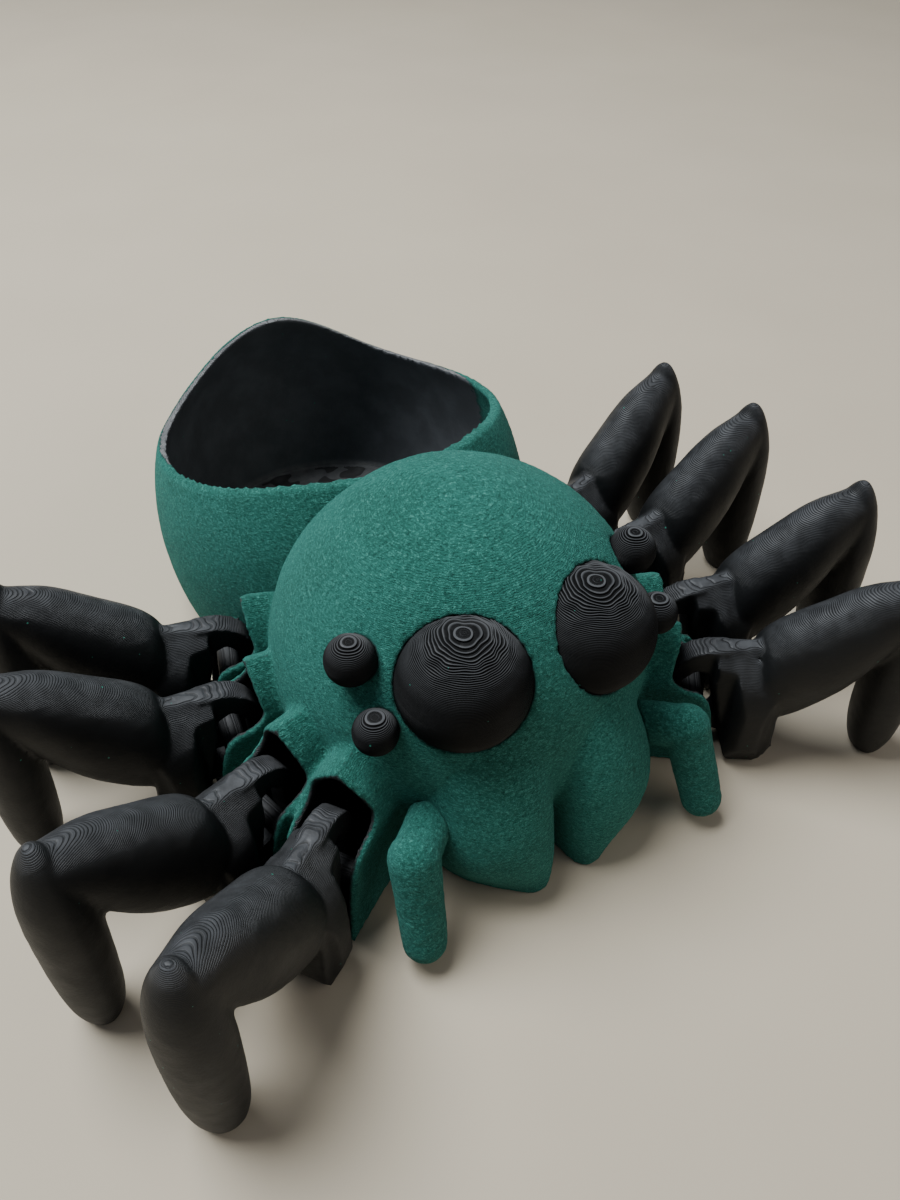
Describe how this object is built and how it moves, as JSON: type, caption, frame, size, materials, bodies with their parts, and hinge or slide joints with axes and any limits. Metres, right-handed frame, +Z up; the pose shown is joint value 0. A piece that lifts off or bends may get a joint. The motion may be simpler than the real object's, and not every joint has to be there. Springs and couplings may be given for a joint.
{
  "type": "articulated spider bowl",
  "caption": "Printed jumping spider figure with loose hinged legs in hooded sockets and an open bowl for an abdomen, flocked outside.",
  "frame": {"origin": "on the surface it stands on, under the middle of the head", "axes": "+Z up; the face looks along -Y and the bowl lies towards +Y; +X is the spider's own left"},
  "size_m": [0.1539, 0.1388, 0.0542],
  "materials": {
    "green_flock": "short flock coat, suede-like, over printed plastic",
    "black_leg": "satin black print with fine layer lines",
    "black_eye": "satin black print, stepped in layers towards the top",
    "black_socket": "bare black print"
  },
  "bodies": {
    "body": {"head_shell": "green_flock", "abdomen_bowl": "green_flock", "main_eye_left": "black_eye", "main_eye_right": "black_eye", "upper_side_eye_left": "black_eye", "upper_side_eye_right": "black_eye", "lower_side_eye_left": "black_eye", "lower_side_eye_right": "black_eye", "palp_left": "green_flock", "palp_right": "green_flock", "link_bar_left_1": "black_socket", "link_bar_left_2": "black_socket", "link_bar_left_3": "black_socket", "link_bar_left_4": "black_socket", "link_bar_right_1": "black_socket", "link_bar_right_2": "black_socket", "link_bar_right_3": "black_socket", "link_bar_right_4": "black_socket"},
    "leg_left_1": {"leg_left_1": "black_leg"},
    "leg_left_2": {"leg_left_2": "black_leg"},
    "leg_left_3": {"leg_left_3": "black_leg"},
    "leg_left_4": {"leg_left_4": "black_leg"},
    "leg_right_1": {"leg_right_1": "black_leg"},
    "leg_right_2": {"leg_right_2": "black_leg"},
    "leg_right_3": {"leg_right_3": "black_leg"},
    "leg_right_4": {"leg_right_4": "black_leg"}
  },
  "joints": [
    {"name": "lift_left_1", "type": "hinge", "parent": "body", "child": "leg_left_1", "pos_m": [0.0348, -0.0227, 0.012], "axis": [-0.5736, -0.8192, 0], "range_deg": [-4, 22]},
    {"name": "lift_left_2", "type": "hinge", "parent": "body", "child": "leg_left_2", "pos_m": [0.04, -0.0099, 0.012], "axis": [-0.2874, -0.9578, 0], "range_deg": [-4, 22]},
    {"name": "lift_left_3", "type": "hinge", "parent": "body", "child": "leg_left_3", "pos_m": [0.0395, 0.0071, 0.012], "axis": [0.1063, -0.9943, 0], "range_deg": [-4, 22]},
    {"name": "lift_left_4", "type": "hinge", "parent": "body", "child": "leg_left_4", "pos_m": [0.035, 0.0217, 0.012], "axis": [0.2504, -0.9681, 0], "range_deg": [-4, 10]},
    {"name": "lift_right_1", "type": "hinge", "parent": "body", "child": "leg_right_1", "pos_m": [-0.0348, -0.0227, 0.012], "axis": [-0.5736, 0.8192, 0], "range_deg": [-4, 22]},
    {"name": "lift_right_2", "type": "hinge", "parent": "body", "child": "leg_right_2", "pos_m": [-0.04, -0.0099, 0.012], "axis": [-0.2874, 0.9578, 0], "range_deg": [-4, 22]},
    {"name": "lift_right_3", "type": "hinge", "parent": "body", "child": "leg_right_3", "pos_m": [-0.0395, 0.0071, 0.012], "axis": [0.1063, 0.9943, 0], "range_deg": [-4, 22]},
    {"name": "lift_right_4", "type": "hinge", "parent": "body", "child": "leg_right_4", "pos_m": [-0.035, 0.0217, 0.012], "axis": [0.2504, 0.9681, 0], "range_deg": [-4, 10]}
  ]
}
